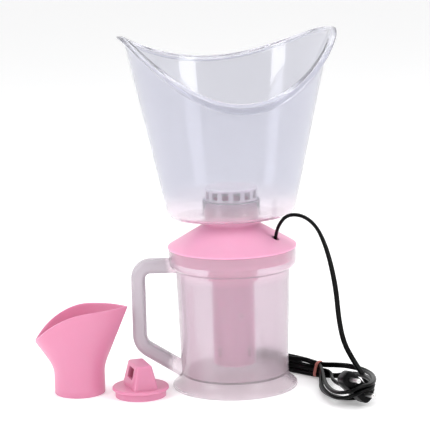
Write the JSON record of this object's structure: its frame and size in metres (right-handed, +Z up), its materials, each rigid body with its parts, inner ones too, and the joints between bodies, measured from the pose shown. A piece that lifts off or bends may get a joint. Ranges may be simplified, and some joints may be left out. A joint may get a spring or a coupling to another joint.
{
  "type": "facial steamer",
  "caption": "Electrode facial steamer: frosted handled jug, pink lid with steam chamber, clear flared face mask, two loose steam outlets and a tied mains flex.",
  "frame": {"origin": "on the jug's axis, at the plane of the jug's foot", "axes": "+Z up along the jug's axis; -X towards the handle; -Y towards the user, where the mask's rim is lowest"},
  "size_m": [0.3034, 0.1829, 0.316],
  "materials": {
    "frosted_jug": "frosted",
    "pink_plastic": "satin",
    "steel": "bright",
    "dark_plastic": "glossy",
    "brown_insulation": "matte",
    "blue_insulation": "matte",
    "brass": "bright",
    "insulator": "matte",
    "electrode_steel": "dull",
    "clear_mask": "translucent",
    "black_flex": "glossy",
    "red_rubber": "matte"
  },
  "bodies": {
    "jug": {"jug": "frosted_jug", "cord_drop": "black_flex", "cord_hank": "black_flex", "cord_tail": "black_flex", "rubber_band": "red_rubber", "plug_body": "dark_plastic", "plug_relief": "dark_plastic", "plug_pins": "steel"},
    "lid": {"lid": "pink_plastic", "lid_underplate": "pink_plastic", "underplate_screws": "steel", "cord_clamp": "dark_plastic", "clamp_screws": "steel", "live_core": "brown_insulation", "neutral_core": "blue_insulation", "ring_terminals": "brass", "terminal_screws": "steel", "electrode_holder": "insulator", "live_electrode": "electrode_steel", "neutral_electrode": "electrode_steel", "electrode_spacer": "insulator"},
    "chamber": {"steam_chamber": "pink_plastic", "chamber_cap": "pink_plastic"},
    "mask": {"face_mask": "clear_mask", "steam_diffuser": "clear_mask"},
    "inhaler": {"inhaler_mask": "pink_plastic"},
    "nozzle": {"nozzle_cap": "pink_plastic"}
  },
  "joints": [
    {"name": "lid_lift", "type": "slide", "parent": "jug", "child": "lid", "axis": [0, 0, 1], "range_m": [0, 0.115], "deforming": ["cord_drop"]},
    {"name": "chamber_twist", "type": "hinge", "parent": "lid", "child": "chamber", "pos_m": [0, 0, 0.101], "axis": [0, 0, 1], "range_deg": [0, 26]},
    {"name": "mask_lift", "type": "slide", "parent": "lid", "child": "mask", "axis": [0, 0, 1], "range_m": [0, 0.03]},
    {"name": "inhaler_lift", "type": "slide", "parent": "jug", "child": "inhaler", "axis": [0, 0, 1], "range_m": [0, 0.05]},
    {"name": "nozzle_slide", "type": "slide", "parent": "jug", "child": "nozzle", "axis": [0, -1, 0], "range_m": [0, 0.05]}
  ]
}
